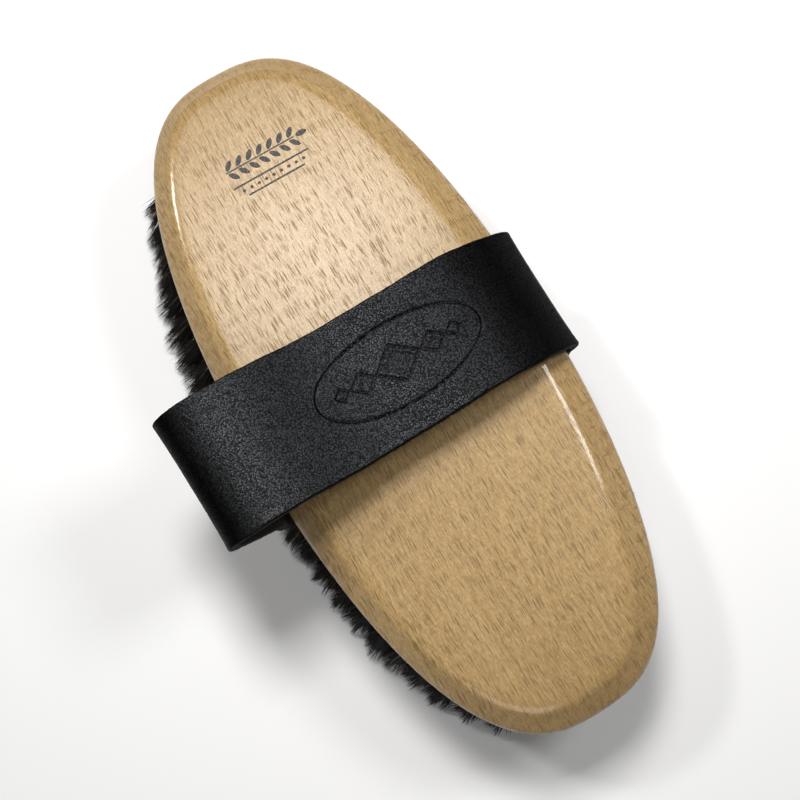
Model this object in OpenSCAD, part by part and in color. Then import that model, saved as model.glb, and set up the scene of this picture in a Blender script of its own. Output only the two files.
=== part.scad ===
// Oval body brush: a beech block, a leather hand strap across its back and staple-set bristle tufts below.
// X runs along the block, Y across it and Z up. The origin is the end face of the middle tuft, in the
// plane that the bristle tips stand on.

/* [Block] */
// Length of the wooden block
block_len = 210; // [200:1:230]
// Width of the wooden block
block_wid = 90; // [89:1:100]
// Thickness of the wooden block
block_h = 20; // [19:0.5:24]
// Roundness of the block's ends: 2 is an ellipse, more is squarer
end_power = 2.1; // [2:0.05:2.4]
// Fullness of the block's long sides
side_power = 2.75; // [2.4:0.05:3.2]
// Width of the bevel round the back, seen from above
bevel_w = 7.4; // [6:0.1:9]
// Depth of the bevel
bevel_h = 6.5; // [5:0.5:8]
// How far the flat of the back lies off centre, towards -Y
bevel_shift = 1.2; // [0:0.1:2]
// Rounding of the edge round the underside
rim_r = 1.5; // [0.5:0.1:2]

/* [Strap] */
// Width of the leather strap
strap_w = 38; // [34:1:40]
// Thickness of the leather
strap_t = 2.8; // [2:0.1:3]
// Clearance between the leather and its slot
slot_gap = 0.3; // [0.2:0.05:0.5]
// Depth of each strap slot, from the block's widest point
slot_depth = 13.5; // [12:0.5:15]
// Height of the slots' middle above the underside
slot_z = 10; // [9.5:0.5:11]
// How far the loop hangs out on the -Y side, beyond the block
loop_out = 15.4; // [12:0.1:20]
// Height of the loop's crest above the back of the block
loop_rise = 22.3; // [18:0.1:30]

/* [Nails] */
// Diameter of a nail
nail_d = 1.5; // [1.2:0.1:1.6]
// Length of a nail
nail_len = 14.5; // [14:0.5:15.5]
// Diameter of a nail's head
nail_head_d = 3.2; // [2.6:0.1:3.4]

/* [Bristles] */
// Free length of the bristles below the wood
trim_h = 24; // [20:1:28]
// Distance between tufts along a ring
tuft_pitch = 8; // [7.8:0.1:8.6]
// Diameter of a tuft bore
bore_d = 4.6; // [4:0.1:4.8]
// Depth of a tuft bore
bore_depth = 7; // [6:0.5:7]
// Diameter of a tuft at its cut end
tuft_tip_d = 6.6; // [5:0.1:6.8]
// Outward lean of the tufts along the long sides, in degrees
splay = 28; // [10:1:28]
// Outward lean of the tufts at the two ends, in degrees
end_splay = 16; // [4:1:18]

/* [Hidden] */
outline_steps = 120;
skin = 0.01;
overshoot = 5;
round_fn = 32;
ring_count = 5;
SIDES = ["left", "right"];
underside_z = trim_h;
back_z = underside_z + block_h;
shoulder_z = back_z - bevel_h;
slot_mid_z = underside_z + slot_z;
slot_h = strap_t + 2 * slot_gap;
slot_w = strap_w + 4 * slot_gap;
half_wid = block_wid / 2;
tail_end = half_wid - slot_depth + 2 * slot_gap;
nail_y = half_wid - 9.5;
nail_head_t = 0.6;
nail_play = 0.02;
nail_hole_in_strap = nail_d + 0.5;
bore_play = 0.05;
tuft_root_d = bore_d - 2 * bore_play;
anchor_len = bore_d + 0.4;
anchor_h = 1.8;
anchor_t = 0.5;
anchor_play = 0.05;
anchor_from_top = 1.2;
edge_margin = 6.5;
middle_gap = 8;
ring_pitch = (half_wid - edge_margin - middle_gap) / (ring_count - 1);
quarter_steps = 60;
rest_side_ring = 2;
rest_end_ring = 3;
curve_steps = 8;
nail_xs = [-tuft_pitch, 0, tuft_pitch];
knee_z = shoulder_z + 0.3 * bevel_h;
knee_in = 0.2 * bevel_w;
loop_far = -half_wid - loop_out;
crest_z = back_z + loop_rise;
saddle_z = back_z + 12;

// ---- outline of the block ----

function sgn_pow(v, p) = sign(v) * pow(abs(v), p);

// Points of a superellipse with half axes a and b
function oval(a, b, steps) = [
    for (i = [0 : steps - 1]) let (t = 360 * i / steps)
        [a * sgn_pow(cos(t), 2 / end_power), b * sgn_pow(sin(t), 2 / side_power)]
];

// A thin slice of the block at height z, smaller than the outline by inset and moved to -Y by shift
module oval_slice(z, inset, shift) {
    translate([0, -shift, z])
        linear_extrude(skin)
            polygon(oval(block_len / 2 - inset, half_wid - inset, outline_steps));
}

// ---- tufts: where they stand and how they lean ----
// The tufts stand in rings that follow the outline, ring 1 outermost, round a straight middle row. A tuft's place
// is [x, y, lean along X, lean along Y], the leans in millimetres at the bristle tips.

function ring_a(k) = block_len / 2 - edge_margin - (k - 1) * ring_pitch;
function ring_b(k) = half_wid - edge_margin - (k - 1) * ring_pitch;
function ring_point(k, t) = [ring_a(k) * pow(cos(t), 2 / end_power), ring_b(k) * pow(sin(t), 2 / side_power)];

// Arc length against angle over one quarter of ring k, as pairs for lookup
function quarter_run(k) = [
    for (i = 0, run = 0, last = ring_point(k, 0); i <= quarter_steps;
            i = i + 1, run = run + (i > quarter_steps ? 0 : norm(ring_point(k, 90 * i / quarter_steps) - last)),
            last = i > quarter_steps ? last : ring_point(k, 90 * i / quarter_steps))
        [run, 90 * i / quarter_steps]
];

// Share of the full lean that ring k has: all of it at the edge, none in the middle
function lean_share(k) = pow(1 - (k - 1) / ring_count, 2);

// Outward direction of a superellipse with half axes a and b at [x, y]
function outward(p, a, b) = let (
        g = [end_power * pow(p[0] / a, end_power - 1) / a, side_power * pow(p[1] / b, side_power - 1) / b])
    g / norm(g);

// Places of the tufts in the quarter of ring k where x and y are above zero
function quarter_tufts(k) = let (runs = quarter_run(k), total = runs[quarter_steps][0], n = round(total / tuft_pitch))
    [for (j = [0 : n - 1]) let (
            p = ring_point(k, lookup((j + 0.5) * total / n, runs)),
            out = outward(p, ring_a(k), ring_b(k)) * trim_h * lean_share(k))
        [p[0], p[1], out[0] * tan(end_splay), out[1] * tan(splay)]];

function mirrored(tufts, sx, sy) = [for (t = tufts) [sx * t[0], sy * t[1], sx * t[2], sy * t[3]]];

// All tufts of ring k on one side of the block, -1 for the left and 1 for the right
function half_ring(tufts, side) = concat(mirrored(tufts, 1, side), mirrored(tufts, -1, side));

middle_reach = floor((ring_a(ring_count) - 2 * ring_pitch) / tuft_pitch);
middle_row = [for (i = [-middle_reach : middle_reach]) [i * tuft_pitch, 0, 0, 0]];

// The brush is reckoned to stand on a few tufts: the middle one and two in each quarter
function rest_index(k) = k == rest_side_ring ? len(quarter_tufts(k)) - 3 : k == rest_end_ring ? 1 : -1;
function moving_tufts(k) = let (all = quarter_tufts(k), rest = rest_index(k))
    [for (j = [0 : len(all) - 1]) if (j != rest) all[j]];
function standing_tufts() = concat([[0, 0, 0, 0]], [
    for (k = [rest_side_ring, rest_end_ring], side = [-1, 1])
        each half_ring([quarter_tufts(k)[rest_index(k)]], side)]);

// Puts a shape that hangs down from the origin at a tuft's place, along the tuft's lean
module at_tuft(t) {
    tilt = atan2(norm([t[2], t[3]]), trim_h);
    translate([t[0], t[1], underside_z])
        rotate(a = tilt, v = tilt == 0 ? [1, 0, 0] : [t[3], -t[2], 0])
            children();
}

module anchor_bar(len, h, t) {
    translate([0, 0, bore_depth - anchor_from_top - anchor_h / 2])
        cube([len, t, h], center = true);
}

// A bundle of hair: straight in its bore, then flaring evenly, and made long enough to be trimmed level
module one_tuft(t) {
    uncut = 1.3;
    at_tuft(t) difference() {
        union() {
            cylinder(h = bore_depth - bore_play, d = tuft_root_d, $fn = round_fn);
            translate([0, 0, -uncut * trim_h])
                cylinder(h = uncut * trim_h, d1 = tuft_root_d + uncut * (tuft_tip_d - tuft_root_d), d2 = tuft_root_d,
                    $fn = round_fn);
        }
        anchor_bar(2 * bore_d, anchor_h + 2 * anchor_play, anchor_t + 2 * anchor_play);
    }
}

// Everything below the plane of the bristle tips is trimmed off
module trimmed() {
    difference() {
        children();
        translate([-block_len, -block_len, -2 * trim_h]) cube([2 * block_len, 2 * block_len, 2 * trim_h]);
    }
}

// ---- sub-parts ----

module brush_block() {
    color([0.80, 0.65, 0.45]) difference() {
        union() {
            // bevel round the back, with a knee where it rounds over into the side
            hull() {
                oval_slice(back_z - skin, bevel_w, bevel_shift);
                oval_slice(knee_z, knee_in, bevel_shift * knee_in / bevel_w);
            }
            hull() {
                oval_slice(knee_z, knee_in, bevel_shift * knee_in / bevel_w);
                oval_slice(shoulder_z - skin, 0, 0);
            }
            translate([0, 0, underside_z + rim_r])
                linear_extrude(shoulder_z - underside_z - rim_r)
                    polygon(oval(block_len / 2, half_wid, outline_steps));
            // rounded edge round the underside
            hull() {
                oval_slice(underside_z + rim_r, 0, 0);
                oval_slice(underside_z + rim_r * (1 - sin(45)), rim_r * (1 - cos(45)), 0);
                oval_slice(underside_z, rim_r, 0);
            }
        }
        for (t = middle_row) tuft_bore(t);
        for (k = [1 : ring_count], side = [-1, 1], t = half_ring(quarter_tufts(k), side)) tuft_bore(t);
        for (side = [-1, 1]) {
            strap_slot(side);
            for (x = nail_xs) translate([x, side * nail_y, underside_z]) nail_shape(nail_play);
        }
    }
}

module tuft_bore(t) {
    at_tuft(t) translate([0, 0, -overshoot]) cylinder(h = bore_depth + overshoot, d = bore_d, $fn = round_fn);
}

module strap_slot(side) {
    translate([0, side * (half_wid + (overshoot - slot_depth) / 2), slot_mid_z])
        cube([slot_w, slot_depth + overshoot, slot_h], center = true);
}

// A nail standing on its head; play makes the hole that it is driven into
module nail_shape(play) {
    cylinder(h = nail_len + play, d = nail_d + 2 * play, $fn = round_fn);
    translate([0, 0, -play]) cylinder(h = nail_head_t + 2 * play, d = nail_head_d + 2 * play, $fn = round_fn);
}

// A point on a cubic curve from a to d with handles b and c
function cubic(a, b, c, d, t) = a * pow(1 - t, 3) + 3 * b * t * pow(1 - t, 2) + 3 * c * t * t * (1 - t) + d * pow(t, 3);

// The strap's centre line in the YZ plane: out of the -Y slot, round the hanging side of the loop, over the
// back and down into the +Y slot
strap_knots = [
    [-half_wid, slot_mid_z], [-half_wid - 3.4, slot_mid_z], [-half_wid - 3.4, slot_mid_z + 3.4],
    [-half_wid - 3.3, slot_mid_z + 8], [-half_wid - 3.1, slot_mid_z + 17], [loop_far, slot_mid_z + 17.5],
    [loop_far, crest_z - 7.5], [loop_far, crest_z - 3.5], [loop_far + 3.5, crest_z],
    [loop_far + 10, crest_z], [-36, crest_z], [-24, saddle_z + 0.2],
    [-5, saddle_z], [8, saddle_z - 0.1], [16, saddle_z + 0.6],
    [24, saddle_z - 1], [36, saddle_z - 4.5], [half_wid - 1, saddle_z - 13],
    [half_wid + 2, slot_mid_z + 4.6], [half_wid + 2.9, slot_mid_z + 2], [half_wid + 2.2, slot_mid_z],
    [half_wid, slot_mid_z]
];
strap_line = concat(
    [[-tail_end, slot_mid_z]],
    [for (k = [0 : 6], s = [0 : curve_steps - 1])
        cubic(strap_knots[3 * k], strap_knots[3 * k + 1], strap_knots[3 * k + 2], strap_knots[3 * k + 3], s / curve_steps)],
    [strap_knots[21], [tail_end, slot_mid_z]]
);

// Unit normal of the centre line at point k, to its left
function line_normal(k) = let (last = len(strap_line) - 1,
        d = strap_line[min(k + 1, last)] - strap_line[max(k - 1, 0)])
    [-d[1], d[0]] / norm(d);

function offset_line(dist) = [for (k = [0 : len(strap_line) - 1]) strap_line[k] + dist * line_normal(k)];

function reversed(list) = [for (k = [len(list) - 1 : -1 : 0]) list[k]];

module hand_strap() {
    color([0.07, 0.07, 0.08]) difference() {
        translate([-strap_w / 2, 0, 0])
            rotate([90, 0, 90])
                linear_extrude(strap_w)
                    polygon(concat(offset_line(strap_t / 2), reversed(offset_line(-strap_t / 2))));
        for (side = [-1, 1], x = nail_xs)
            translate([x, side * nail_y, slot_mid_z - strap_t])
                cylinder(h = 2 * strap_t, d = nail_hole_in_strap, $fn = round_fn);
    }
}

// A group of nails, heads flush with the underside, through one end of the strap. They stand midway between tufts
// of the outermost ring, which lie half a pitch either side of x = 0
module strap_nails(side) {
    color([0.62, 0.60, 0.56])
        for (x = nail_xs)
            translate([x, side * nail_y, underside_z]) nail_shape(0);
}

module tufts(places) {
    color([0.13, 0.11, 0.09]) trimmed() for (t = places) one_tuft(t);
}

module anchors(places) {
    color([0.70, 0.70, 0.68]) for (t = places) at_tuft(t) anchor_bar(anchor_len, anchor_h, anchor_t);
}

brush_block();
hand_strap();
strap_nails(-1);  // strap_nails_left
strap_nails(1);  // strap_nails_right
tufts(standing_tufts());  // resting_tufts
/* tuft_row_middle */ tufts([for (t = middle_row) if (t[0] != 0) t]);
anchors(middle_row);  // anchor_row_middle
for (k = [1 : ring_count], i = [0, 1]) {
    tufts(half_ring(moving_tufts(k), 2 * i - 1));
    anchors(half_ring(quarter_tufts(k), 2 * i - 1));
}
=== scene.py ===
import math

import bmesh
import bpy
import numpy as np
from mathutils import Matrix, Vector


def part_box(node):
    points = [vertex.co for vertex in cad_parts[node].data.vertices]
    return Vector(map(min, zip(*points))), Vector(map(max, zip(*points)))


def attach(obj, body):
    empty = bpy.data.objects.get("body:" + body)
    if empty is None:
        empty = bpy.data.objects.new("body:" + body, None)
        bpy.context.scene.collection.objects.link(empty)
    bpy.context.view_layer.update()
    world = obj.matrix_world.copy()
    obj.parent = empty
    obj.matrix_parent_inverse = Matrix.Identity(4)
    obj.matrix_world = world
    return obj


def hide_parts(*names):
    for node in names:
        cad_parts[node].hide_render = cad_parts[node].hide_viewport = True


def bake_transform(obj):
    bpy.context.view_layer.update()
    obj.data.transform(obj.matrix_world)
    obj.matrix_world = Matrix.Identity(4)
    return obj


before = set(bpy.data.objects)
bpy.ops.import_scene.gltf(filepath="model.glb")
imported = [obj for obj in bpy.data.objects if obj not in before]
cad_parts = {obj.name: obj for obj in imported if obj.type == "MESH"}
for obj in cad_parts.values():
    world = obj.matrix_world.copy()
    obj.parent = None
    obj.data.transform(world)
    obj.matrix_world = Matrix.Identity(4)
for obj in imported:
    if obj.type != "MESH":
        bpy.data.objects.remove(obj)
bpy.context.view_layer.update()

MM = 0.001
SEED = 20

# ---------------------------------------------------------------- places and sizes, from the frame

BLOCK_LOW, BLOCK_HIGH = (np.array(corner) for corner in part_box("brush_block"))
STRAP_LOW, STRAP_HIGH = (np.array(corner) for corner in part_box("hand_strap"))
HALF_LEN = (BLOCK_HIGH[0] - BLOCK_LOW[0]) / 2
HALF_WID = (BLOCK_HIGH[1] - BLOCK_LOW[1]) / 2
UNDERSIDE_Z = BLOCK_LOW[2]
BACK_Z = BLOCK_HIGH[2]
STRAP_WIDTH = STRAP_HIGH[0] - STRAP_LOW[0]

END_POWER, SIDE_POWER = 2.1, 2.75
BEVEL_H, BEVEL_SHIFT = 6.5 * MM, 1.2 * MM
RIM_R = 1.5 * MM
SHOULDER_Z = BACK_Z - BEVEL_H

STRAP_T = 2.8 * MM
SLOT_Z = UNDERSIDE_Z + 10 * MM
SLOT_GAP = 0.3 * MM
SLOT_DEPTH = 13.5 * MM
LOOP_FAR = STRAP_LOW[1] + STRAP_T / 2
CREST_Z = STRAP_HIGH[2] - STRAP_T / 2
SADDLE_Z = BACK_Z + 12 * MM

TUFT_NODES = sorted(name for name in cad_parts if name.startswith("tuft_") or name == "resting_tufts")
ANCHOR_NODES = sorted(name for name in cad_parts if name.startswith("anchor_"))
NAIL_NODES = sorted(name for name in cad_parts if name.startswith("strap_nails"))
BORE_R = 2.3 * MM
BORE_DEPTH = 7 * MM
NAIL_HEAD_R, NAIL_R = 1.62 * MM, 0.77 * MM
NAIL_HEAD_T, NAIL_DEPTH = 0.62 * MM, 14.6 * MM


# ---------------------------------------------------------------- node-material helpers

class Nodes:
    """A short way to write a node material."""

    def __init__(self, name):
        self.material = bpy.data.materials.new(name)
        self.material.use_nodes = True
        self.tree = self.material.node_tree
        self.tree.nodes.clear()
        self.output = self.tree.nodes.new("ShaderNodeOutputMaterial")
        self.shader = self.tree.nodes.new("ShaderNodeBsdfPrincipled")
        self.tree.links.new(self.shader.outputs[0], self.output.inputs["Surface"])

    def put(self, socket, value):
        if isinstance(value, bpy.types.NodeSocket):
            self.tree.links.new(value, socket)
        else:
            socket.default_value = value

    def add(self, kind, inputs=None, out=0, **settings):
        node = self.tree.nodes.new(kind)
        for key, value in settings.items():
            setattr(node, key, value)
        for key, value in (inputs or {}).items():
            self.put(node.inputs[key], value)
        return node.outputs[out]

    def set(self, **sockets):
        for key, value in sockets.items():
            self.put(self.shader.inputs[key.replace("_", " ")], value)

    def place(self, scale=(1, 1, 1), turn=(0, 0, 0), shift=(0, 0, 0)):
        """Object coordinates in metres, scaled and turned."""
        coords = self.add("ShaderNodeTexCoord", out="Object")
        return self.add("ShaderNodeMapping", {"Vector": coords, "Scale": scale, "Rotation": turn, "Location": shift})

    def noise(self, vector, scale, detail=4, rough=0.55, distortion=0.0):
        return self.add("ShaderNodeTexNoise", {"Vector": vector, "Scale": scale, "Detail": detail,
                                               "Roughness": rough, "Distortion": distortion})

    def cells(self, vector, scale, feature="F1", randomness=1.0, out=0, smooth=None):
        inputs = {"Vector": vector, "Scale": scale, "Randomness": randomness}
        if smooth is not None:
            inputs["Smoothness"] = smooth
        return self.add("ShaderNodeTexVoronoi", inputs, out=out, feature=feature)

    def ramp(self, value, low, high, to_low=0.0, to_high=1.0, smooth=True):
        return self.add("ShaderNodeMapRange", {"Value": value, "From Min": low, "From Max": high,
                                               "To Min": to_low, "To Max": to_high},
                        interpolation_type="SMOOTHSTEP" if smooth else "LINEAR")

    def math(self, operation, a, b=0.0):
        return self.add("ShaderNodeMath", {0: a, 1: b}, operation=operation)

    def mix(self, factor, a, b, blend="MIX"):
        node = self.tree.nodes.new("ShaderNodeMix")
        node.data_type = "RGBA"
        node.blend_type = blend
        self.put(node.inputs["Factor"], factor)
        self.put(node.inputs["A"], a)
        self.put(node.inputs["B"], b)
        return node.outputs["Result"]

    def bump(self, height, distance, strength=1.0, normal=None):
        inputs = {"Height": height, "Distance": distance, "Strength": strength}
        if normal is not None:
            inputs["Normal"] = normal
        return self.add("ShaderNodeBump", inputs)

    def split(self, vector):
        node = self.tree.nodes.new("ShaderNodeSeparateXYZ")
        self.put(node.inputs[0], vector)
        return node.outputs

    def join(self, x, y, z):
        return self.add("ShaderNodeCombineXYZ", {0: x, 1: y, 2: z})

    def scaled(self, vector, scale, shift=(0, 0, 0)):
        return self.add("ShaderNodeMapping", {"Vector": vector, "Scale": scale, "Location": shift})


def rgb(r, g, b):
    return (r, g, b, 1.0)


# ---------------------------------------------------------------- materials

def beech_material():
    """Flat-sawn beech with the grain along X under a clear satin lacquer."""
    n = Nodes("beech")
    x, y, z = n.split(n.place())[:]
    # the fibres wander a little to each side on their way along the block
    wander = n.noise(n.place(scale=(13, 26, 26)), 1.0, detail=2)
    sway = n.math("MULTIPLY", n.math("SUBTRACT", wander, 0.5), 0.0055)
    grain = n.join(x, n.math("ADD", y, sway), n.math("ADD", z, sway))
    # soft bands of growth, then long streaks and fine fibres
    band = n.noise(n.scaled(grain, (7, 110, 70)), 1.0, detail=3, rough=0.5)
    streak = n.noise(n.scaled(grain, (45, 900, 400)), 1.0, detail=3, rough=0.6)
    fibre = n.noise(n.scaled(grain, (420, 2600, 1600)), 1.0, detail=3, rough=0.6)
    cloud = n.noise(n.place(scale=(18, 24, 24), shift=(0.4, 0.2, 0.0)), 1.0, detail=3)
    # ray marks: short dark dashes along the grain, each of its own strength, in a coarse and two fine sets
    marks = []
    for scale, shift, reach, keep in (((180, 1950, 50), (0.0, 0.0, 0.0), 0.50, 0.80),
                                      ((290, 2700, 90), (3.1, 7.3, 1.7), 0.52, 0.90),
                                      ((800, 3200, 400), (9.2, 1.4, 5.6), 0.52, 0.95)):
        place = n.scaled(grain, scale, shift)
        near = n.cells(place, 1.0)
        own = n.split(n.cells(place, 1.0, out=1))[0]
        marks.append(n.math("MULTIPLY", n.ramp(near, reach, 0.3 * reach), n.ramp(own, 0.05, keep)))
    coarse, middle, fine = marks
    # silky figure: flakes with their own gloss and relief, and lighter flakes painted into the colour as painted glints
    silk = n.noise(n.scaled(grain, (1100, 2300, 1800)), 1.0, detail=2, rough=0.6)

    base = n.mix(n.ramp(cloud, 0.30, 0.72), rgb(0.462, 0.308, 0.138), rgb(0.428, 0.280, 0.122))
    base = n.mix(n.ramp(band, 0.38, 0.68, 0.0, 0.35), base, rgb(0.365, 0.230, 0.090))
    base = n.mix(n.ramp(streak, 0.36, 0.70, 0.0, 0.55), base, rgb(0.560, 0.392, 0.192))
    base = n.mix(n.ramp(fibre, 0.40, 0.66, 0.0, 0.50), base, rgb(0.320, 0.200, 0.078))
    # painted glints: the silky flakes are painted lighter in the wood's colour
    base = n.mix(n.ramp(silk, 0.50, 0.66, 0.0, 0.40), base, rgb(0.620, 0.460, 0.250))
    dark = rgb(0.190, 0.114, 0.042)
    base = n.mix(n.math("MULTIPLY", coarse, 0.84), base, dark)
    base = n.mix(n.math("MULTIPLY", middle, 0.66), base, dark)
    base = n.mix(n.math("MULTIPLY", fine, 0.46), base, dark)
    # small arcs where the +Y bevel cuts the rays across
    arc_place = n.scaled(grain, (310, 210, 210), (1.3, 2.9, 4.1))
    ring = n.ramp(n.math("ABSOLUTE", n.math("SUBTRACT", n.cells(arc_place, 1.0), 0.33)), 0.09, 0.02)
    side = n.math("SUBTRACT", n.split(arc_place)[0], n.split(n.cells(arc_place, 1.0, out=2))[0])
    arcs = n.math("MULTIPLY", ring, n.ramp(side, 0.02, 0.14))
    on_bevel = n.math("MULTIPLY", n.ramp(z, BACK_Z - 0.5 * MM, BACK_Z - 1.6 * MM), n.ramp(y, 0.012, 0.028))
    base = n.mix(n.math("MULTIPLY", n.math("MULTIPLY", arcs, on_bevel), 0.50), base, dark)
    # painted shade: the two ends are painted a little darker, where the light falls off towards them
    painted_end_shade = n.ramp(n.math("ABSOLUTE", x), 0.066, 0.104, 0.0, 0.30)
    base = n.mix(painted_end_shade, base, rgb(0.270, 0.165, 0.062))
    n.set(Base_Color=base)
    # the crease round the back is polished by handling
    crease = n.math("MULTIPLY", n.ramp(z, BACK_Z - 1.2 * MM, BACK_Z - 0.7 * MM),
                    n.ramp(z, BACK_Z - 0.01 * MM, BACK_Z - 0.05 * MM))
    gloss = n.ramp(n.math("ADD", n.math("MULTIPLY", silk, 0.8), n.math("MULTIPLY", coarse, 0.5)),
                   0.25, 0.85, 0.27, 0.39, smooth=False)
    n.set(Roughness=n.math("SUBTRACT", gloss, n.math("MULTIPLY", crease, 0.16)))
    n.set(Specular_IOR_Level=n.ramp(crease, 0.0, 1.0, 0.33, 0.45, smooth=False))
    relief = n.math("ADD", n.math("MULTIPLY", silk, 0.9), n.math("MULTIPLY", fibre, 0.5))
    relief = n.math("SUBTRACT", relief, n.math("ADD", n.math("MULTIPLY", coarse, 0.7), n.math("MULTIPLY", middle, 0.4)))
    smooth_crease = n.ramp(crease, 0.0, 1.0, 0.55, 0.20, smooth=False)
    n.set(Normal=n.bump(relief, 0.00008, smooth_crease))
    return n.material


def leather_grain_material():
    """The grain side: black, finely pebbled leather with a soft sheen."""
    n = Nodes("strap_leather_grain")
    place = n.place()
    pebble = n.cells(place, 2000.0, feature="SMOOTH_F1", smooth=0.35)
    crease = n.cells(n.place(shift=(0.11, 0.23, 0.05)), 1700.0, feature="DISTANCE_TO_EDGE")
    fine = n.noise(place, 4600.0, detail=3, rough=0.65)
    patch = n.noise(place, 60.0, detail=4)
    glint_patch = n.ramp(n.noise(place, 420.0, detail=3), 0.50, 0.75)
    height = n.math("ADD", n.math("MULTIPLY", pebble, -1.0), n.math("MULTIPLY", n.ramp(crease, 0.0, 0.16), 0.6))
    height = n.math("ADD", height, n.math("MULTIPLY", fine, 0.55))
    tops = n.ramp(height, 0.12, 0.62)
    pressed = n.add("ShaderNodeAttribute", out="Fac", attribute_name="pressed")
    colour = n.mix(n.ramp(patch, 0.35, 0.7), rgb(0.0012, 0.0012, 0.0013), rgb(0.0022, 0.0022, 0.0025))
    # painted glints: the pebble tops are painted lighter in patches, standing in for their sparkle
    colour = n.mix(n.math("MULTIPLY", n.math("MULTIPLY", tops, glint_patch), 0.5), colour, rgb(0.009, 0.009, 0.010))
    # painted shade: the pressed lines are painted darker, as shade in their grooves
    colour = n.mix(n.math("MULTIPLY", pressed, 0.8), colour, rgb(0.0010, 0.0010, 0.0011))
    n.set(Base_Color=colour)
    gloss = n.ramp(n.math("ADD", patch, n.math("MULTIPLY", fine, 0.3)), 0.3, 1.0, 0.32, 0.39, smooth=False)
    n.set(Roughness=n.math("ADD", gloss, n.math("MULTIPLY", pressed, 0.25)))
    # the hand polishes the level parts, most on the -Y side; the slopes at both ends of the loop stay dull
    facing_up = n.split(n.add("ShaderNodeTexCoord", out="Normal"))[2]
    level = n.ramp(facing_up, 0.80, 0.985, 0.08, 1.0)
    polish = n.math("MULTIPLY", level, n.ramp(n.split(place)[1], -0.028, 0.024, 1.0, 0.70))
    n.set(Specular_IOR_Level=n.math("MULTIPLY", n.ramp(height, 0.0, 0.6, 0.10, 0.56), polish),
          Specular_Tint=rgb(0.92, 0.96, 1.0))
    flat = n.math("SUBTRACT", 1.0, n.math("MULTIPLY", pressed, 0.7))
    n.set(Normal=n.bump(n.math("MULTIPLY", height, flat), 0.00011, 0.62))
    return n.material


def leather_edge_material():
    """The raw cut edge: black-dyed, rough and a little grey where fibres stand up."""
    n = Nodes("strap_leather_edge")
    fibres = n.noise(n.place(scale=(900, 2600, 5200)), 1.0, detail=4, rough=0.7)
    tufts = n.noise(n.place(), 1500.0, detail=3)
    colour = n.mix(n.ramp(fibres, 0.40, 0.72), rgb(0.007, 0.006, 0.006), rgb(0.036, 0.034, 0.033))
    n.set(Base_Color=colour)
    n.set(Roughness=n.ramp(tufts, 0.3, 0.7, 0.70, 0.92, smooth=False))
    n.set(Specular_IOR_Level=0.25)
    n.set(Normal=n.bump(n.math("ADD", fibres, tufts), 0.00030, 0.8))
    return n.material


def leather_flesh_material():
    """The flesh side, against the hand: matt, short-napped and nearly black."""
    n = Nodes("strap_leather_flesh")
    nap = n.noise(n.place(), 2600.0, detail=4, rough=0.7)
    patch = n.noise(n.place(), 140.0, detail=3)
    colour = n.mix(n.ramp(nap, 0.35, 0.75), rgb(0.008, 0.007, 0.007), rgb(0.034, 0.032, 0.030))
    colour = n.mix(n.ramp(patch, 0.45, 0.70, 0.0, 0.4), colour, rgb(0.020, 0.018, 0.016))
    n.set(Base_Color=colour)
    n.set(Roughness=n.ramp(nap, 0.3, 0.7, 0.78, 0.95, smooth=False))
    n.set(Sheen_Weight=0.10, Sheen_Roughness=0.5, Specular_IOR_Level=0.25)
    n.set(Normal=n.bump(nap, 0.00020, 0.7))
    return n.material


def bristle_material():
    """Dark natural hair: near-black and brown strands, a few of them grey, with a slight gloss."""
    n = Nodes("bristle")
    tone = n.add("ShaderNodeAttribute", out="Fac", attribute_name="tone")
    height = n.add("ShaderNodeAttribute", out="Fac", attribute_name="along")
    streak = n.noise(n.place(scale=(3200, 3200, 260)), 1.0, detail=2)
    dark = n.mix(n.ramp(tone, 0.0, 0.60), rgb(0.0012, 0.0010, 0.0008), rgb(0.0052, 0.0040, 0.0031))
    brown = n.mix(n.ramp(tone, 0.62, 0.90), dark, rgb(0.050, 0.032, 0.021))
    hair = n.mix(n.ramp(tone, 0.93, 0.99), brown, rgb(0.26, 0.22, 0.19))
    hair = n.mix(n.ramp(height, 0.80, 1.0, 0.0, 0.08), hair, rgb(0.070, 0.048, 0.033))
    hair = n.mix(n.ramp(streak, 0.40, 0.75, 0.0, 0.30), hair, rgb(0.007, 0.0055, 0.0045))
    n.set(Base_Color=hair)
    n.set(Roughness=n.ramp(tone, 0.0, 1.0, 0.45, 0.62, smooth=False))
    n.set(Specular_IOR_Level=0.06)
    return n.material


def metal_material(name, colour, dull, roughness):
    """Drawn steel with fine draw marks and light tarnish."""
    n = Nodes(name)
    marks = n.noise(n.place(scale=(900, 900, 5200)), 1.0, detail=3)
    tarnish = n.noise(n.place(), 900.0, detail=4)
    n.set(Base_Color=n.mix(n.ramp(tarnish, 0.45, 0.72), colour, dull))
    n.set(Roughness=n.ramp(tarnish, 0.35, 0.70, roughness, roughness + 0.25, smooth=False))
    n.set(Metallic=1.0)
    n.set(Normal=n.bump(marks, 0.00002, 0.5))
    return n.material


def ink_material():
    """Dark grey stamping ink, thinner in places so that it looks printed on wood."""
    n = Nodes("stamp_ink")
    speckle = n.noise(n.place(scale=(700, 2200, 2200)), 1.0, detail=3)
    n.set(Base_Color=n.mix(n.ramp(speckle, 0.42, 0.70), rgb(0.024, 0.024, 0.033), rgb(0.120, 0.095, 0.070)))
    n.set(Roughness=n.ramp(speckle, 0.3, 0.7, 0.45, 0.6, smooth=False))
    n.set(Specular_IOR_Level=0.28)
    return n.material


def floor_material():
    n = Nodes("pale_floor")
    mottle = n.noise(n.place(), 3.0, detail=2)
    n.set(Base_Color=n.mix(mottle, rgb(0.955, 0.955, 0.955), rgb(0.97, 0.97, 0.97)))
    n.set(Roughness=0.8)
    return n.material


# ---------------------------------------------------------------- mesh helpers

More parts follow.
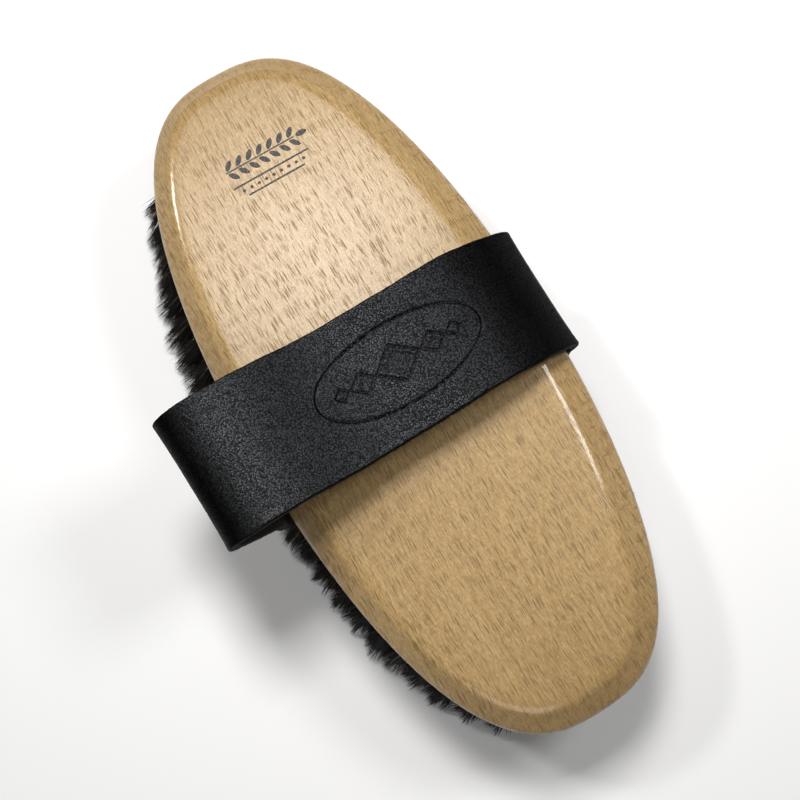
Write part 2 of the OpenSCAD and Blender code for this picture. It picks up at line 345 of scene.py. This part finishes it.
def link(name, vertices, faces, materials, face_materials=None, sharp_above=None):
    """A mesh object with smooth faces; edges that turn by more than sharp_above degrees stay sharp."""
    mesh = bpy.data.meshes.new(name)
    mesh.from_pydata([tuple(v) for v in vertices], [], faces)
    for material in materials:
        mesh.materials.append(material)
    if face_materials is not None:
        mesh.polygons.foreach_set("material_index", np.asarray(face_materials, np.int32))
    mesh.polygons.foreach_set("use_smooth", np.ones(len(mesh.polygons), bool))
    mesh.update()
    piece = bpy.data.objects.new(name, mesh)
    bpy.context.scene.collection.objects.link(piece)
    if sharp_above is not None:
        sharpen(mesh, sharp_above)
    return piece


def sharpen(mesh, degrees):
    work = bmesh.new()
    work.from_mesh(mesh)
    limit = math.radians(degrees)
    for edge in work.edges:
        edge.smooth = len(edge.link_faces) != 2 or edge.calc_face_angle(0.0) < limit
    work.to_mesh(mesh)
    work.free()


def ring_faces(start_a, start_b, count, closed=True):
    """Quads between two rings of vertices."""
    last = count if closed else count - 1
    return [(start_a + k, start_a + (k + 1) % count, start_b + (k + 1) % count, start_b + k) for k in range(last)]


def smooth_step(t):
    t = np.clip(t, 0.0, 1.0)
    return t * t * (3 - 2 * t)


# ---------------------------------------------------------------- the wooden block

def oval(inset, count):
    """A superellipse inside the block's outline, with its points evenly spaced."""
    t = np.linspace(0, 2 * np.pi, 6000)
    c, s = np.cos(t), np.sin(t)
    path = np.c_[(HALF_LEN - inset) * np.sign(c) * np.abs(c) ** (2 / END_POWER),
                 (HALF_WID - inset) * np.sign(s) * np.abs(s) ** (2 / SIDE_POWER)]
    run = np.r_[0, np.cumsum(np.linalg.norm(np.diff(path, axis=0), axis=1))]
    even = np.linspace(0, run[-1], count, endpoint=False)
    return np.c_[np.interp(even, run, path[:, 0]), np.interp(even, run, path[:, 1])]


def block_profile():
    """(inset, height) from the middle of the underside, round the edge, up the bevel and in over the back."""
    quarter = np.radians(np.linspace(0, 90, 6))
    rim = [(RIM_R * (1 - math.sin(a)), UNDERSIDE_Z + RIM_R * (1 - math.cos(a))) for a in quarter]
    side = [(0.0, UNDERSIDE_Z + RIM_R + k * (SHOULDER_Z - UNDERSIDE_Z - RIM_R) / 5) for k in range(1, 5)]
    # the bevel: a short round shoulder, a nearly flat slope and a small crease at the back
    knots = [(0.0, SHOULDER_Z - 0.6 * MM), (0.0, SHOULDER_Z + 1.3 * MM), (1.3 * MM, SHOULDER_Z + 2.2 * MM),
             (3.2 * MM, SHOULDER_Z + 3.5 * MM)]
    shoulder = [cubic(*knots, t) for t in np.linspace(0, 1, 9)]
    slope = [(inset * MM, SHOULDER_Z + 3.5 * MM + (inset - 3.2) / (6.5 - 3.2) * (BEVEL_H - 3.5 * MM - 0.35 * MM))
             for inset in (4.0, 4.8)]
    knots = [(5.5 * MM, BACK_Z - 1.16 * MM), (6.5 * MM, BACK_Z - 0.35 * MM), (7.6 * MM, BACK_Z), (10.0 * MM, BACK_Z)]
    crease = [cubic(*knots, t) for t in np.linspace(0, 1, 9)]
    inner = [(RIM_R + d * MM, UNDERSIDE_Z) for d in (30, 16, 6, 2, 0.7)]
    back = [(d * MM, BACK_Z) for d in (12, 15, 20, 28, 36, 41)]
    return inner + rim + side + shoulder + slope + crease + back


def cubic(a, b, c, d, t):
    a, b, c, d = (np.asarray(p, float) for p in (a, b, c, d))
    return a * (1 - t) ** 3 + 3 * b * t * (1 - t) ** 2 + 3 * c * t * t * (1 - t) + d * t ** 3


def solids_of(name):
    """The vertices of each separate solid of a CAD node, as arrays."""
    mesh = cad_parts[name].data
    points = np.zeros(len(mesh.vertices) * 3)
    mesh.vertices.foreach_get("co", points)
    points = points.reshape(-1, 3)
    painted_end_shade = np.zeros(len(mesh.edges) * 2, np.int64)
    mesh.edges.foreach_get("vertices", painted_end_shade)
    painted_end_shade = painted_end_shade.reshape(-1, 2)
    # vertices at one place count as one, so that each solid is one island
    keys = np.unique(np.round(points / (0.002 * MM)).astype(np.int64), axis=0, return_inverse=True)[1].ravel()
    label = keys.copy()
    while True:
        low = np.minimum(label[painted_end_shade[:, 0]], label[painted_end_shade[:, 1]])
        per_key = np.full(keys.max() + 1, np.iinfo(np.int64).max)
        np.minimum.at(per_key, keys, label)
        np.minimum.at(per_key, keys[painted_end_shade[:, 0]], low)
        np.minimum.at(per_key, keys[painted_end_shade[:, 1]], low)
        new = per_key[keys]
        if (new == label).all():
            break
        label = new
    return [points[label == island] for island in np.unique(label)]


def tuft_places():
    """For every tuft in the frame: its node, root centre, direction and tip radius, read from the CAD solids."""
    found = []
    for name in TUFT_NODES:
        for p in solids_of(name):
            top, tip = p[p[:, 2] > p[:, 2].max() - 0.3 * MM], p[p[:, 2] < 0.05 * MM]
            axis_top, axis_tip = (top.min(0) + top.max(0)) / 2, (tip.min(0) + tip.max(0)) / 2
            direction = axis_tip - axis_top
            root = axis_top + direction * (axis_top[2] - UNDERSIDE_Z) / (axis_top[2] - axis_tip[2])
            radius = (tip[:, 0].max() - tip[:, 0].min()) / 2
            found.append((name, root, direction / np.linalg.norm(direction), radius))
    return found


def nail_places():
    return [(p.min(0) + p.max(0)) / 2 for name in NAIL_NODES for p in solids_of(name)]


def cutter(name, vertices, faces):
    mesh = bpy.data.meshes.new(name)
    mesh.from_pydata([tuple(v) for v in vertices], [], faces)
    piece = bpy.data.objects.new(name, mesh)
    bpy.context.scene.collection.objects.link(piece)
    return piece


def bore_cutters(tufts):
    """All tuft bores, nail holes and both strap slots, as one object to cut from the block."""
    vertices, faces = [], []
    sides = 20
    below = -4 * MM
    down = np.array((0.0, 0.0, -1.0))
    # each hole: a point on its axis at the underside, its direction outwards, then (depth, radius) along it
    holes = [(root, direction, [(below, BORE_R), (BORE_DEPTH, BORE_R)]) for _, root, direction, _ in tufts]
    holes += [(np.array((at[0], at[1], UNDERSIDE_Z)), down,
               [(below, NAIL_HEAD_R), (NAIL_HEAD_T, NAIL_HEAD_R), (NAIL_HEAD_T, NAIL_R), (NAIL_DEPTH, NAIL_R)])
              for at in nail_places()]
    for root, direction, profile in holes:
        across = np.cross(direction, (1.0, 0.0, 0.0))
        across /= np.linalg.norm(across)
        other = np.cross(direction, across)
        start = len(vertices)
        for depth, radius in profile:
            for k in range(sides):
                a = 2 * math.pi * k / sides
                vertices.append(root - direction * depth + radius * (math.cos(a) * across + math.sin(a) * other))
        for k in range(len(profile) - 1):
            faces += ring_faces(start + k * sides, start + (k + 1) * sides, sides)
        faces.append(tuple(start + k for k in reversed(range(sides))))
        faces.append(tuple(start + (len(profile) - 1) * sides + k for k in range(sides)))
    for side in (-1, 1):
        half_x, half_z = STRAP_WIDTH / 2 + 2 * SLOT_GAP, STRAP_T / 2 + SLOT_GAP
        y_in, y_out = side * (HALF_WID - SLOT_DEPTH), side * (HALF_WID + 5 * MM)
        start = len(vertices)
        vertices += [np.array((sx * half_x, y, SLOT_Z + sz * half_z))
                     for y in (y_in, y_out) for sx, sz in ((-1, -1), (1, -1), (1, 1), (-1, 1))]
        faces += ring_faces(start, start + 4, 4)
        faces += [(start + 3, start + 2, start + 1, start), (start + 4, start + 5, start + 6, start + 7)]
    piece = cutter("bore_cutters", vertices, faces)
    work = bmesh.new()
    work.from_mesh(piece.data)
    bmesh.ops.recalc_face_normals(work, faces=work.faces)
    work.to_mesh(piece.data)
    work.free()
    return piece


def make_block(tufts, material):
    around = 480
    profile = block_profile()
    vertices, faces = [], []
    for inset, z in profile:
        top_share = smooth_step((z - SHOULDER_Z) / BEVEL_H)
        ring = oval(inset, around)
        vertices += [(px, py - BEVEL_SHIFT * top_share, z) for px, py in ring]
    for k in range(len(profile) - 1):
        faces += ring_faces(k * around, (k + 1) * around, around)
    faces.append(tuple(reversed(range(around))))
    faces.append(tuple((len(profile) - 1) * around + k for k in range(around)))
    block = link("beech_block", vertices, faces, [material])
    cuts = bore_cutters(tufts)
    modifier = block.modifiers.new("bores", "BOOLEAN")
    modifier.object = cuts
    modifier.operation = "DIFFERENCE"
    modifier.solver = "EXACT"
    graph = bpy.context.evaluated_depsgraph_get()
    cut = bpy.data.meshes.new_from_object(block.evaluated_get(graph))
    block.modifiers.clear()
    block.data = cut
    bpy.data.objects.remove(cuts)
    sharpen(cut, 32)
    return block


# ---------------------------------------------------------------- the leather strap

def strap_knots():
    """Cubic knots of the strap's centre line in the YZ plane, the same curve as the CAD strap's."""
    far, half = LOOP_FAR, HALF_WID
    slot, crest, saddle = SLOT_Z, CREST_Z, SADDLE_Z
    return [
        (-half, slot), (-half - 3.4 * MM, slot), (-half - 3.4 * MM, slot + 3.4 * MM),
        (-half - 3.3 * MM, slot + 8 * MM), (-half - 3.1 * MM, slot + 17 * MM), (far, slot + 17.5 * MM),
        (far, crest - 7.5 * MM), (far, crest - 3.5 * MM), (far + 3.5 * MM, crest), (far + 10 * MM, crest),
        (-36 * MM, crest), (-24 * MM, saddle + 0.2 * MM), (-5 * MM, saddle),
        (8 * MM, saddle - 0.1 * MM), (16 * MM, saddle + 0.6 * MM), (24 * MM, saddle - 1 * MM),
        (36 * MM, saddle - 4.5 * MM), (half - 1 * MM, saddle - 13 * MM), (half + 2 * MM, slot + 4.6 * MM),
        (half + 2.9 * MM, slot + 2 * MM), (half + 2.2 * MM, slot), (half, slot)]


MOTIF_HALF = 26 * MM
# the loop hangs askew: shift along X for each metre of Y, and turn of its far side in radians
STRAP_SKEW = 0.024
STRAP_TURN = 0.035


def strap_line():
    """The centre line with the two tails in their slots, smoothed a little: its points, and their distance along it
    from the middle of the motif. Points are close together where the motif is."""
    knots = strap_knots()
    tail = HALF_WID - SLOT_DEPTH + 2 * SLOT_GAP
    path = [np.array((-tail, SLOT_Z))]
    for k in range(0, len(knots) - 1, 3):
        path += [cubic(*knots[k:k + 4], t) for t in np.linspace(0, 1, 80, endpoint=False)]
    path += [np.array(knots[-1]), np.array((tail, SLOT_Z))]
    path = np.array(path)
    run = np.r_[0, np.cumsum(np.linalg.norm(np.diff(path, axis=0), axis=1))]
    even = np.linspace(0, run[-1], 700)
    line = np.c_[np.interp(even, run, path[:, 0]), np.interp(even, run, path[:, 1])]
    fixed = (np.abs(line[:, 0]) < HALF_WID + 1 * MM) & (line[:, 1] < SLOT_Z + 1 * MM)
    for _ in range(26):
        middle = (line[:-2] + 2 * line[1:-1] + line[2:]) / 4
        line[1:-1] = np.where(fixed[1:-1, None], line[1:-1], middle)
    run = np.r_[0, np.cumsum(np.linalg.norm(np.diff(line, axis=0), axis=1))]
    on_top = np.where(line[:, 1] > BACK_Z, np.abs(line[:, 0] - 0.5 * MM), 1.0)
    s = run - run[np.argmin(on_top)]
    places = np.r_[np.arange(s[0], -MOTIF_HALF, 0.55 * MM), np.arange(-MOTIF_HALF, MOTIF_HALF, 0.26 * MM),
                   np.arange(MOTIF_HALF, s[-1] - 0.2 * MM, 0.55 * MM), s[-1]]
    return np.c_[np.interp(places, s, line[:, 0]), np.interp(places, s, line[:, 1])], places


def oval_distance(s, t, half_s, half_t):
    """Distance from an oval line, good near the line."""
    level = np.sqrt((s / half_s) ** 2 + (t / half_t) ** 2) + 1e-9
    slope = np.sqrt((s / half_s ** 2) ** 2 + (t / half_t ** 2) ** 2) / level + 1e-9
    return np.abs(level - 1) / slope


def lozenge_distance(s, t, at, half_s, half_t):
    """Signed distance from a lozenge on the middle line, less than zero inside it."""
    return (np.abs(s - at) / half_s + np.abs(t) / half_t - 1) * half_s * half_t / math.hypot(half_s, half_t)


def pressed_line(distance, width):
    return 1 - smooth_step(np.abs(distance) / width)


def strap_relief(s, t):
    """Depth pressed into the grain side: a faint line inside each long edge, and a plain row of lozenges in an oval."""
    edge_line = np.abs(t) - (STRAP_WIDTH / 2 - 2.6 * MM)
    depth = 0.07 * MM * pressed_line(edge_line, 0.6 * MM) * (1 - smooth_step((np.abs(s) - 24 * MM) / (10 * MM)))
    marks = pressed_line(oval_distance(s, t, 25 * MM, 11.0 * MM), 0.50 * MM)
    for at, half_s, half_t in ((0, 6.6, 5.4), (10.8, 3.6, 3.0), (17.2, 2.2, 1.8)):
        for side in (-1, 1):
            shape = lozenge_distance(s, t, side * at * MM, half_s * MM, half_t * MM)
            marks = np.maximum(marks, pressed_line(shape, 0.50 * MM))
            marks = np.maximum(marks, 0.6 * (1 - smooth_step((shape + 1.5 * MM) / (0.35 * MM))))
    return np.maximum(depth, 0.32 * MM * marks), marks


def wobble(values, seed, size):
    """Smooth random unevenness along a run of places, in metres."""
    rng = np.random.default_rng(seed)
    total = np.zeros(len(values))
    for wave, share in ((35, 1.0), (90, 0.5), (240, 0.3), (900, 0.22)):
        total += share * np.sin(values * wave * 2 * math.pi + rng.uniform(0, 2 * math.pi))
    return size * total


def make_strap(grain, edge, flesh):
    """One strip of leather swept along the centre line, with tooled lines, soft grain edges and raw cut sides."""
    line, s = strap_line()
    tangent = np.gradient(line, axis=0)
    tangent /= np.linalg.norm(tangent, axis=1)[:, None]
    normal = np.c_[-tangent[:, 1], tangent[:, 0]]
    half, soft = STRAP_WIDTH / 2, 0.55 * MM
    outer_t = np.linspace(-half + soft, half - soft, 136)
    inner_t = np.linspace(half - 0.3 * MM, -half + 0.3 * MM, 24)
    corner = np.radians(np.linspace(0, 90, 5))[1:-1]
    # the section's points: (across, outwards, zone), where zone 0 is grain, 1 the cut edge and 2 the flesh side
    section = [(t, STRAP_T / 2, 0) for t in outer_t]
    section += [(half - soft + soft * math.sin(a), STRAP_T / 2 - soft + soft * math.cos(a), 0) for a in corner]
    section += [(half, h * MM, 1) for h in (0.75, 0.35, -0.05, -0.45, -0.85, -1.15)]
    section += [(t, -STRAP_T / 2, 2) for t in inner_t]
    section += [(-half, h * MM, 1) for h in (-1.15, -0.85, -0.45, -0.05, 0.35, 0.75)]
    section += [(-half + soft - soft * math.cos(a), STRAP_T / 2 - soft + soft * math.sin(a), 0) for a in corner]
    across = np.array([p[0] for p in section])
    out = np.array([p[1] for p in section])
    zone = [p[2] for p in section]
    count = len(section)
    rough = np.random.default_rng(SEED)
    vertices, pressed = [], []
    free = smooth_step((np.abs(line[:, 0]) - HALF_WID + 0.5 * MM) / (2 * MM))
    free = np.maximum(free, smooth_step((line[:, 1] - SLOT_Z - 1 * MM) / (3 * MM)))
    cut_high, cut_low = wobble(s, 3, 0.08 * MM), wobble(s, 4, 0.08 * MM)
    for k in range(len(line)):
        t = across.copy()
        t += np.where(across > half * 0.9, cut_high[k], 0) * free[k]
        t += np.where(across < -half * 0.9, cut_low[k], 0) * free[k]
        h = out.copy()
        on_grain = np.array(zone) == 0
        depth, marks = strap_relief(np.full(on_grain.sum(), s[k]), across[on_grain])
        h[on_grain] -= depth
        shade = np.zeros(count)
        shade[on_grain] = marks
        pressed.append(shade)
        on_edge = np.array(zone) == 1
        t[on_edge] += np.sign(across[on_edge]) * rough.normal(0, 0.07 * MM, on_edge.sum()) * free[k]
        # the leather's long edges curl outwards a little where it is free
        h += 0.35 * MM * (np.abs(across) / half) ** 3 * free[k]
        y = line[k, 0] + normal[k, 0] * h
        z = line[k, 1] + normal[k, 1] * h
        # the loop hangs a little askew: it is shifted along X and its far side is turned
        x = t - STRAP_SKEW * y * free[k]
        y_turn = STRAP_TURN * t * smooth_step((-line[k, 0] - 0.6 * HALF_WID) / (0.6 * HALF_WID)) * free[k]
        vertices += list(np.c_[x, y + y_turn, z])
    faces, slots = [], []
    for k in range(len(line) - 1):
        a, b = k * count, (k + 1) * count
        faces += [(a + j, b + j, b + (j + 1) % count, a + (j + 1) % count) for j in range(count)]
        slots += [max(zone[j], zone[(j + 1) % count]) if zone[j] != zone[(j + 1) % count] else zone[j]
                  for j in range(count)]
    faces.append(tuple(range(count)))
    faces.append(tuple((len(line) - 1) * count + j for j in reversed(range(count))))
    slots += [1, 1]
    strap = link("leather_strap", vertices, faces, [grain, edge, flesh], slots, sharp_above=48)
    attribute = strap.data.attributes.new("pressed", "FLOAT", "POINT")
    attribute.data.foreach_set("value", np.concatenate(pressed).astype(np.float32))
    return strap


# ---------------------------------------------------------------- the bristles

HAIRS_OUTER, HAIRS_INNER = 295, 140
HAIR_SIDES = 3
HAIR_RINGS = 4
HAIR_R = 0.125 * MM
CLUMPS_OUTER, CLUMPS_INNER = 24, 8
PULL_OUTER, PULL_INNER = 0.38, 0.85
# tufts with more than this outwardness stand in the outer ring and fan out along it
OUTER_RING = 0.72
FAN = 3.6 * MM
# how far the tips are dragged, in millimetres
DRAG_FAR_SIDE, DRAG_AT_STRAP, DRAG_LESS = 1.7, 5.4, 0.9
STRAY_SHARE, GREY_SHARE = 0.03, 0.03


def drag(root):
    """How far the hair tips of a tuft are dragged towards -Y, as when the brush is put down: most beside
    the strap on the -Y side, more again at the -X end and less at the +X end."""
    if root[1] > 0:
        return DRAG_FAR_SIDE * MM
    past_strap = (root[0] + 28 * MM) / ((60 if root[0] < -28 * MM else 28) * MM)
    at_ends = 1.9 * smooth_step((-root[0] - 72 * MM) / (12 * MM)) - 0.8 * smooth_step((root[0] - 55 * MM) / (35 * MM))
    return (DRAG_AT_STRAP * math.exp(-past_strap ** 2) - DRAG_LESS + at_ends) * MM


def outwardness(root):
    """0 at the middle of the block, 1 at its outline."""
    return (abs(root[0]) / HALF_LEN) ** END_POWER + (abs(root[1]) / HALF_WID) ** SIDE_POWER


def one_hair(rng, root, direction, frame_u, frame_v, tip_r, clumps, spread, sweep, pull):
    """Points along one hair, from inside its bore to its pointed tip. Its tip is pulled towards the middle of the
    nearest clump, by at most the share called pull."""
    a, r = rng.uniform(0, 2 * math.pi), math.sqrt(rng.uniform())
    start_uv = np.array((math.cos(a), math.sin(a))) * r
    nearest = np.argmin(((clumps - start_uv) ** 2).sum(1))
    end_uv = start_uv * rng.uniform(0.8, 1.15)
    end_uv = end_uv + (clumps[nearest] - end_uv) * rng.uniform(0.0, pull)
    root_r = BORE_R - 0.2 * MM
    start = root + root_r * (start_uv[0] * frame_u + start_uv[1] * frame_v)
    end = root + direction * (root[2] / -direction[2]) + tip_r * (end_uv[0] * frame_u + end_uv[1] * frame_v)
    end = end + sweep + spread[nearest] * rng.uniform(0.6, 1.1)
    end[2] = abs(rng.normal(0, 0.6 * MM)) + 0.02 * MM
    if rng.uniform() < STRAY_SHARE:
        # a stray that stands out from the tuft
        aside = rng.normal(0, 0.8 * MM, 2)
        end = end + (aside[0], -abs(aside[1]), rng.uniform(0, 2 * MM))
    bow = rng.normal(0, 0.5 * MM, 3) * np.array((1, 1, 0))
    t = np.linspace(0, 1, HAIR_RINGS + 1)[:, None]
    path = start * (1 - t) + end * t
    # hairs leave the bore straight and fan out lower down
    along = direction * np.dot(end - start, direction)
    path = path + (t ** 1.35 - t) * (end - start - along) + bow * np.sin(t * math.pi)
    path[0] = start - direction * 3 * MM
    return path


def hair_mesh(name, tufts, material):
    """All hairs of one row as one mesh, each a tapered strand with a pointed tip, with its tone on its points."""
    rng = np.random.default_rng(SEED + sum(map(ord, name)))
    vertices, faces, tones, alongs = [], [], [], []
    taper = np.array([1.0, 1.0, 0.9, 0.6])
    angles = 2 * math.pi * np.arange(HAIR_SIDES) / HAIR_SIDES
    for _, root, direction, tip_radius in tufts:
        frame_u = np.cross(direction, (0.0, 1.0, 0.0))
        frame_u /= np.linalg.norm(frame_u)
        frame_v = np.cross(direction, frame_u)
        outer = outwardness(root) > OUTER_RING
        out = direction * np.array((1, 1, 0))
        count = CLUMPS_OUTER if outer else CLUMPS_INNER
        clump_a = rng.uniform(0, 2 * math.pi, count)
        clumps = np.c_[np.cos(clump_a), np.sin(clump_a)] * np.sqrt(rng.uniform(0.1, 1.0, count))[:, None]
        # outer tufts fan out along the outline to meet their neighbours, and each clump reaches outwards a little
        # more or less than the next; then the whole tuft is dragged, the inner ones less
        out = out / max(np.linalg.norm(out), 0.2)
        if outer:
            clumps *= 0.80
            aside = np.array((-out[1], out[0], 0.0))
            spread = aside * np.linspace(-FAN, FAN, count)[:, None]
            spread += out * rng.uniform(-0.55, 0.35, count)[:, None] * MM
        else:
            spread = rng.normal(0, 0.55 * MM, (count, 3)) * np.array((1, 1, 0))
        sweep = rng.normal(0, 0.3 * MM, 3) * np.array((1, 1, 0))
        sweep[1] -= drag(root) * (1.0 if outer else 0.4)
        tuft_tone = rng.uniform(-0.12, 0.12)
        for _ in range(HAIRS_OUTER if outer else HAIRS_INNER):
            path = one_hair(rng, root, direction, frame_u, frame_v, tip_radius * 1.05, clumps, spread, sweep,
                            PULL_OUTER if outer else PULL_INNER)
            tone = float(np.clip(rng.uniform() ** 1.5 + tuft_tone, 0, 0.90))
            if rng.uniform() < GREY_SHARE:
                tone = rng.uniform(0.94, 1.0)
            radius = HAIR_R * rng.uniform(0.75, 1.25)
            start = len(vertices)
            for ring in range(HAIR_RINGS):
                ring_points = path[ring] + radius * taper[ring] * (
                    np.cos(angles)[:, None] * frame_u + np.sin(angles)[:, None] * frame_v)
                vertices.extend(ring_points)
                tones += [tone] * HAIR_SIDES
                alongs += [ring / HAIR_RINGS] * HAIR_SIDES
            vertices.append(path[HAIR_RINGS])
            tones.append(tone)
            alongs.append(1.0)
            for ring in range(HAIR_RINGS - 1):
                faces += ring_faces(start + ring * HAIR_SIDES, start + (ring + 1) * HAIR_SIDES, HAIR_SIDES)
            last = start + (HAIR_RINGS - 1) * HAIR_SIDES
            tip = start + HAIR_RINGS * HAIR_SIDES
            faces += [(last + k, last + (k + 1) % HAIR_SIDES, tip) for k in range(HAIR_SIDES)]
            faces.append(tuple(start + k for k in reversed(range(HAIR_SIDES))))
    piece = link(name, vertices, faces, [material])
    for label, values in (("tone", tones), ("along", alongs)):
        attribute = piece.data.attributes.new(label, "FLOAT", "POINT")
        attribute.data.foreach_set("value", np.asarray(values, np.float32))
    return piece


def make_bristles(tufts, material):
    for name in TUFT_NODES:
        piece = hair_mesh(name.replace("tufts", "hair").replace("tuft", "hair"), [t for t in tufts if t[0] == name],
                          material)
        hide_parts(name)
        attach(piece, "block")


# ---------------------------------------------------------------- the stamp on the wood

STAMP_AT = (-70.5 * MM, -0.4 * MM)
STAMP_FILM = 0.02 * MM


def leaf_outline(at, angle, length, width):
    """A pointed leaf that starts at a point and runs at an angle."""
    t = np.linspace(0, math.pi, 9)
    u, v = length * (1 - np.cos(t)) / 2, width / 2 * np.sin(t) ** 1.3
    shape = np.r_[np.c_[u, v], np.c_[u[-2:0:-1], -v[-2:0:-1]]]
    c, s = math.cos(angle), math.sin(angle)
    return [(at[0] + c * a - s * b, at[1] + s * a + c * b) for a, b in shape]


def bar_outline(middle, length, width):
    corners = ((-1, -1), (1, -1), (1, 1), (-1, 1))
    return [(middle[0] + sx * length / 2, middle[1] + sy * width / 2) for sx, sy in corners]


def dot_outline(middle, radius):
    return [(middle[0] + radius * math.cos(a), middle[1] + radius * math.sin(a))
            for a in np.linspace(0, 2 * math.pi, 12, endpoint=False)]


def make_stamp(material):
    """A generic printed ornament on the back, as a thin film of ink: a sprig over two rules with dots between."""
    shapes = []
    for k in range(-3, 4):
        for side in (-1, 1):
            shapes.append(leaf_outline((k * 3.3 - 1.2, 3.6 + side * 0.45), side * math.radians(48), 3.5, 1.6))
    shapes.append(leaf_outline((10.9, 3.6), 0.0, 3.6, 1.7))
    shapes.append(bar_outline((-0.6, 3.6), 22.0, 0.42))
    shapes.append(bar_outline((0, -1.6), 24.0, 0.55))
    shapes += [dot_outline((k * 2.4, -3.4), 0.5) for k in range(-4, 5)]
    shapes.append(bar_outline((0, -5.2), 18.0, 0.55))
    vertices, faces = [], []
    for shape in shapes:
        start, count = len(vertices), len(shape)
        # the stamp reads along +Y and stands up towards -X
        for z in (BACK_Z, BACK_Z + STAMP_FILM):
            vertices += [(STAMP_AT[0] - up * MM, STAMP_AT[1] + along * MM, z) for along, up in shape]
        faces += ring_faces(start, start + count, count)
        faces.append(tuple(start + k for k in reversed(range(count))))
        faces.append(tuple(start + count + k for k in range(count)))
    stamp = link("stamp_ornament", vertices, faces, [material])
    sharpen(stamp.data, 30)
    return stamp


# ---------------------------------------------------------------- putting it together

def cover_cad_nodes():
    nail = metal_material("nail_steel", rgb(0.52, 0.51, 0.49), rgb(0.30, 0.27, 0.23), 0.34)
    wire = metal_material("anchor_wire", rgb(0.62, 0.62, 0.60), rgb(0.40, 0.38, 0.34), 0.30)
    for names, material in ((NAIL_NODES, nail), (ANCHOR_NODES, wire)):
        for name in names:
            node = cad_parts[name]
            node.data.materials.clear()
            node.data.materials.append(material)


FLOOR_HALF = 0.8
FLOOR_DROP = 0.05 * MM


def make_floor():
    corners = [(sx * FLOOR_HALF, sy * FLOOR_HALF, 0) for sx, sy in ((-1, -1), (1, -1), (1, 1), (-1, 1))]
    floor = link("floor", corners, [(0, 1, 2, 3)], [floor_material()])
    floor.location.z = -FLOOR_DROP


# ---------------------------------------------------------------- light and camera

CAMERA_AT = Vector((51.9, -29.4, 303.0)) * MM + Vector((0, 0, SHOULDER_Z))
CAMERA_AIM = Vector((5.7, -2.5, 0.0)) * MM + Vector((0, 0, SHOULDER_Z))
CAMERA_TURN = math.radians(58.76)
CAMERA_LENS = 49.8


def make_camera():
    """Nearly straight down, from a little towards +X and -Y, with the brush lying from upper left to lower right."""
    data = bpy.data.cameras.new("camera")
    data.lens, data.sensor_width = CAMERA_LENS, 36
    data.clip_start, data.clip_end = 0.02, 20
    camera = bpy.data.objects.new("camera", data)
    forward = (CAMERA_AIM - CAMERA_AT).normalized()
    along = (Vector((1, 0, 0)) - forward.x * forward).normalized()
    across = forward.cross(along)
    right = math.cos(CAMERA_TURN) * along - math.sin(CAMERA_TURN) * across
    down = math.sin(CAMERA_TURN) * along + math.cos(CAMERA_TURN) * across
    turn = Matrix((right, -down, -forward)).transposed()
    camera.matrix_world = Matrix.Translation(CAMERA_AT) @ turn.to_4x4()
    bpy.context.scene.collection.objects.link(camera)
    bpy.context.scene.camera = camera


# name, place in metres, side in metres, power in watts and tint
WHITE = (1.0, 1.0, 1.0)
LIGHTS = (("key", (-0.18, 0.042, 0.50), 0.13, 1.95, (1.0, 0.99, 0.98)),
          ("fill", (1.0, -0.5, 1.3), 0.8, 4.7, WHITE),
          ("side", (0.02, 0.30, 0.45), 0.12, 0.72, WHITE),
          ("edge", (-0.59, -0.33, 0.85), 0.10, 2.3, WHITE))
LIGHT_AIM = Vector((0, 0, 0.03))
SKY_GREY = (0.05, 0.05, 0.05, 1)
SKY_BAND, SKY_STRENGTH = (0.45, 0.95), (0.05, 0.52)
BACKDROP_STRENGTH = 17.0


def area_light(name, at, side, power, tint):
    data = bpy.data.lights.new(name, "AREA")
    data.shape = "RECTANGLE"
    data.size, data.size_y = side, side
    data.energy = power
    data.color = tint
    lamp = bpy.data.objects.new(name, data)
    lamp.location = at
    aim = LIGHT_AIM - Vector(at)
    lamp.rotation_mode = "QUATERNION"
    lamp.rotation_quaternion = aim.to_track_quat("-Z", "Y")
    bpy.context.scene.collection.objects.link(lamp)


def make_lights():
    """A sky that is brighter overhead, a pale backdrop and four area lights."""
    world = bpy.data.worlds.new("studio")
    world.use_nodes = True
    tree = world.node_tree
    coords = tree.nodes.new("ShaderNodeTexCoord")
    split = tree.nodes.new("ShaderNodeSeparateXYZ")
    rise = tree.nodes.new("ShaderNodeMapRange")
    rise.inputs["From Min"].default_value, rise.inputs["From Max"].default_value = SKY_BAND
    rise.inputs["To Min"].default_value, rise.inputs["To Max"].default_value = SKY_STRENGTH
    tree.links.new(coords.outputs["Generated"], split.inputs[0])
    tree.links.new(split.outputs["Z"], rise.inputs["Value"])
    # the backdrop itself is pale where it is seen past the floor's edge
    seen = tree.nodes.new("ShaderNodeLightPath")
    backdrop = tree.nodes.new("ShaderNodeMix")
    tree.links.new(seen.outputs["Is Camera Ray"], backdrop.inputs[0])
    tree.links.new(rise.outputs[0], backdrop.inputs[2])
    backdrop.inputs[3].default_value = BACKDROP_STRENGTH
    tree.links.new(backdrop.outputs[0], tree.nodes["Background"].inputs["Strength"])
    tree.nodes["Background"].inputs["Color"].default_value = SKY_GREY
    bpy.context.scene.world = world
    for light in LIGHTS:
        area_light(*light)


def main():
    tufts = tuft_places()
    block = make_block(tufts, beech_material())
    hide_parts("brush_block")
    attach(block, "block")

    strap = make_strap(leather_grain_material(), leather_edge_material(), leather_flesh_material())
    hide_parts("hand_strap")
    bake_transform(strap)

    stamp = make_stamp(ink_material())
    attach(stamp, "block")

    make_bristles(tufts, bristle_material())
    cover_cad_nodes()
    make_floor()
    make_lights()
    make_camera()
    bpy.context.scene.view_settings.view_transform = "Standard"


main()
